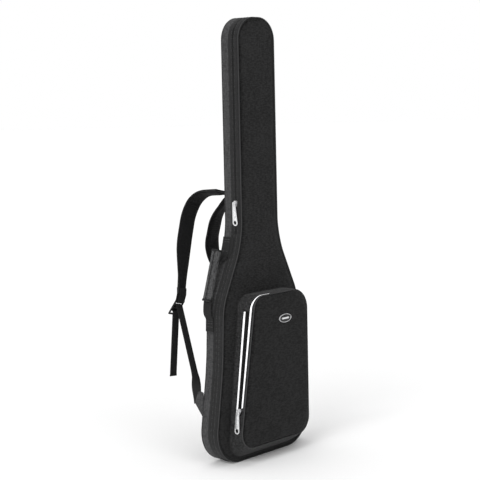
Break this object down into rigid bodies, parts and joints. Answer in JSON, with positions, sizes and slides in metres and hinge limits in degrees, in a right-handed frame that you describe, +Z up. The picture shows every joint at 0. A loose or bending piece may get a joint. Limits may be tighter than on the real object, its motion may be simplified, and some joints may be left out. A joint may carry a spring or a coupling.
{
  "type": "padded instrument gig bag",
  "caption": "Tall padded gig bag for a bass guitar: book-opening zipped lid over a padded tray, zipped front pocket, side carry handle and backpack straps.",
  "frame": {"origin": "on the ground, under the middle of the base patch's width and of the closed bag's depth", "axes": "+Z up along the bag, -Y out of the pocket side, +X to the right seen from the front, millimetre model packed in metres"},
  "size_m": [0.365, 0.2959, 1.18],
  "materials": {
    "panel_cloth": "coarse woven polyester, matt",
    "gusset_cloth": "heathered woven polyester, matt",
    "plain_band": "smooth woven polyester",
    "piping": "ribbed woven piping",
    "foam": "closed-cell foam sheet",
    "lining": "brushed nylon",
    "pad_cloth": "air mesh over foam",
    "webbing": "woven nylon webbing",
    "zip_tape": "woven zip tape",
    "zip_coil": "nylon coil",
    "zip_metal": "polished nickel plate",
    "grip": "heathered cloth over a foam core",
    "patch": "moulded rubber, matt",
    "buckle": "moulded acetal",
    "reflective": "glass-bead reflective tape",
    "badge": "silvered moulding",
    "cradle": "brushed nylon over firm foam",
    "hook_and_loop": "hook and loop tape"
  },
  "bodies": {
    "root": {"back_panel_foam": "foam", "back_panel_shell": "panel_cloth", "base_patch": "patch", "end_bumper": "patch", "handle_lower_tab": "webbing", "handle_upper_tab": "webbing", "left_strap_tab": "gusset_cloth", "neck_cradle": "cradle", "neck_strap_hook_side": "hook_and_loop", "neck_strap_loop_side": "hook_and_loop", "rear_gusset": "gusset_cloth", "rear_gusset_foam": "foam", "rear_piping": "piping", "rear_zip_band": "plain_band", "rear_zip_coil": "zip_coil", "rear_zip_tape": "zip_tape", "right_strap_tab": "gusset_cloth", "strap_anchor_patch": "webbing", "tray_lining": "lining"},
    "front_cover": {"front_band": "plain_band", "front_band_foam": "foam", "front_panel_foam": "foam", "front_panel_shell": "panel_cloth", "front_piping": "piping", "front_zip_coil": "zip_coil", "front_zip_tape": "zip_tape", "lid_lining": "lining", "pocket_gusset": "gusset_cloth", "pocket_front_panel": "panel_cloth", "pocket_piping": "piping", "reflective_strips": "reflective", "pocket_zip_coil": "zip_coil", "pocket_zip_stop": "zip_tape", "badge": "badge"},
    "main_zip_slider": {"main_zip_slider": "zip_metal"},
    "main_zip_pull": {"main_zip_pull": "zip_metal"},
    "pocket_zip_slider": {"pocket_zip_slider": "zip_metal"},
    "pocket_zip_pull": {"pocket_zip_pull": "zip_metal"},
    "carry_handle": {"handle_webbing": "webbing", "handle_grip": "grip"},
    "left_strap": {"left_shoulder_pad": "pad_cloth", "left_pad_loop": "webbing", "left_ladder_lock": "buckle", "left_strap_webbing": "webbing"},
    "right_strap": {"right_shoulder_pad": "pad_cloth", "right_pad_loop": "webbing", "right_ladder_lock": "buckle", "right_strap_webbing": "webbing"}
  },
  "joints": [
    {"name": "cover_hinge", "type": "hinge", "parent": "root", "child": "front_cover", "pos_m": [-0.1885, -0.011, 0.06], "axis": [-0.1074, 0, -0.9942], "range_deg": [0, 100]},
    {"name": "main_zip_slide", "type": "slide", "parent": "root", "child": "main_zip_slider", "axis": [0, 0, 1], "range_m": [-0.03, 0.26]},
    {"name": "main_zip_pull_hinge", "type": "hinge", "parent": "main_zip_slider", "child": "main_zip_pull", "pos_m": [-0.0811, -0.011, 0.695], "axis": [0, 1, 0], "range_deg": [0, 160]},
    {"name": "pocket_zip_slide", "type": "slide", "parent": "front_cover", "child": "pocket_zip_slider", "axis": [0.1511, 0, 0.9885], "range_m": [0, 0.24]},
    {"name": "pocket_zip_pull_hinge", "type": "hinge", "parent": "pocket_zip_slider", "child": "pocket_zip_pull", "pos_m": [-0.14004, -0.063, 0.15325], "axis": [0, 1, 0], "range_deg": [0, 160]},
    {"name": "carry_handle_swing", "type": "hinge", "parent": "root", "child": "carry_handle", "pos_m": [-0.1045, 0.017, 0.543], "axis": [0.3576, 0, 0.9339], "range_deg": [-25, 25]},
    {"name": "left_strap_swing", "type": "hinge", "parent": "root", "child": "left_strap", "pos_m": [-0.045, 0.043, 0.715], "axis": [0.2277, -0.0126, 0.9736], "range_deg": [-6, 45]},
    {"name": "right_strap_swing", "type": "hinge", "parent": "root", "child": "right_strap", "pos_m": [0.045, 0.043, 0.715], "axis": [0.2277, 0.0126, -0.9736], "range_deg": [-2, 52]}
  ]
}
